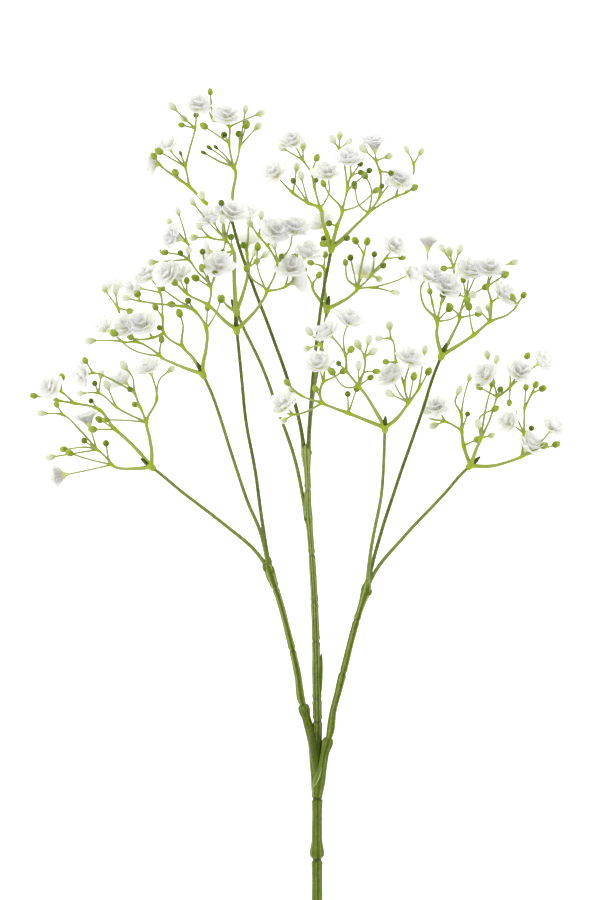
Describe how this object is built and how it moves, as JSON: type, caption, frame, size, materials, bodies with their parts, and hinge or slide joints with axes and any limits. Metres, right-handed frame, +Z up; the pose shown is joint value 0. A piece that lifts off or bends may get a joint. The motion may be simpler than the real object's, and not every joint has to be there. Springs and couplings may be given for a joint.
{
  "type": "gypsophila stem",
  "caption": "Artificial gypsophila stem: a forked green moulded stem with sprays of small white double blooms and round buds, lying down.",
  "frame": {"origin": "on the surface it lies on, under the middle of its box", "axes": "+Y from the cut end of the stem to the tips of the sprays, +Z up from the surface, +X to the right seen from above"},
  "size_m": [0.2167, 0.3997, 0.0843],
  "materials": {
    "stem": "satin moulded, olive green",
    "branch": "satin moulded, olive green",
    "spray": "satin moulded, yellow green with white cloth blooms",
    "petals": "matt white stiffened cloth",
    "buds": "satin bead"
  },
  "bodies": {
    "root": {"main_stem": "stem", "left_branch": "branch", "right_branch": "branch", "spray_left_low": "spray", "spray_left_middle": "spray", "spray_left_high": "spray", "spray_back_left": "spray", "spray_top_left": "spray", "spray_top": "spray", "spray_back": "spray", "spray_right_high": "spray", "spray_right_middle": "spray", "spray_right_low": "spray"}
  },
  "joints": []
}
